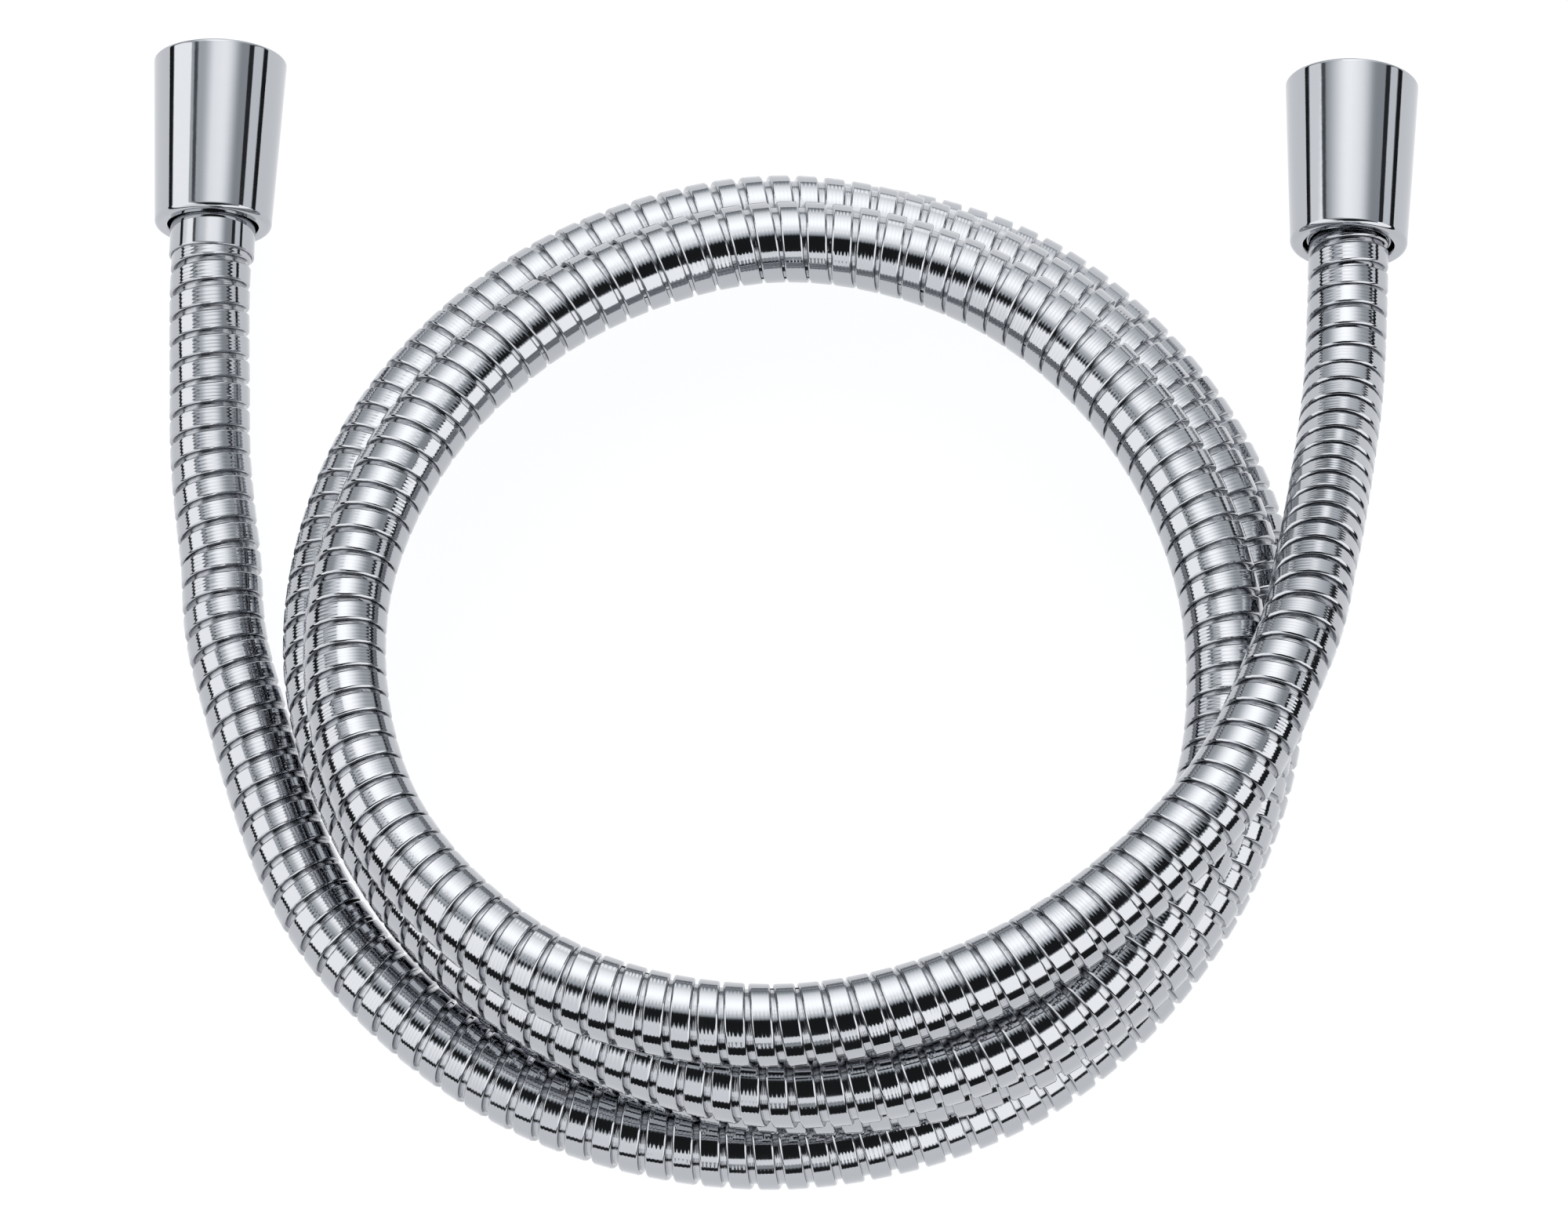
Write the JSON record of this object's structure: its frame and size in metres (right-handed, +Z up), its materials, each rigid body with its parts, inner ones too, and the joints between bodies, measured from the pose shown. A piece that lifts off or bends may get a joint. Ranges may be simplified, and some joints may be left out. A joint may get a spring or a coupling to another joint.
{
  "type": "shower hose",
  "caption": "Flexible wound-steel shower hose lying in a loose coil, with a conical threaded nut that turns freely on each end.",
  "frame": {"origin": "centre of the underside of the bounding box, on the floor that the coil lies on", "axes": "+Z is up and is the axis round which the hose is coiled; X runs from the left end to the right end; both nuts open towards +Y"},
  "size_m": [0.2253, 0.208, 0.0581],
  "materials": {
    "wound_strip": "polished plated strip, wound and interlocked",
    "liner_rubber": "matt extruded rubber",
    "polished_chrome": "mirror chrome plating on turned brass",
    "acetal": "moulded acetal",
    "seal_rubber": "flat cut rubber",
    "turned_brass": "turned, unplated",
    "clamp_steel": "crimped steel strip"
  },
  "bodies": {
    "hose": {"armour": "wound_strip", "liner": "liner_rubber", "left_insert": "turned_brass", "left_ferrule": "polished_chrome", "left_washer": "seal_rubber", "left_liner_clamp": "clamp_steel", "right_insert": "turned_brass", "right_ferrule": "polished_chrome", "right_washer": "seal_rubber", "right_liner_clamp": "clamp_steel"},
    "left_ring": {"left_slip_ring": "acetal"},
    "left_nut": {"left_nut": "polished_chrome"},
    "right_ring": {"right_slip_ring": "acetal"},
    "right_nut": {"right_nut": "polished_chrome"}
  },
  "joints": [
    {"name": "left_nut_slide", "type": "slide", "parent": "hose", "child": "left_ring", "axis": [0.0244, 0.9987, 0.0454], "range_m": [-0.015, 0]},
    {"name": "left_nut_turn", "type": "hinge", "parent": "left_ring", "child": "left_nut", "pos_m": [-0.10104, 0.08697, 0.01109], "axis": [0.0244, 0.9987, 0.0454], "continuous": true},
    {"name": "right_nut_slide", "type": "slide", "parent": "hose", "child": "right_ring", "axis": [0.0419, 0.999, -0.0175], "range_m": [-0.015, 0]},
    {"name": "right_nut_turn", "type": "hinge", "parent": "right_ring", "child": "right_nut", "pos_m": [0.10029, 0.08239, 0.01216], "axis": [0.0419, 0.999, -0.0175], "continuous": true}
  ]
}
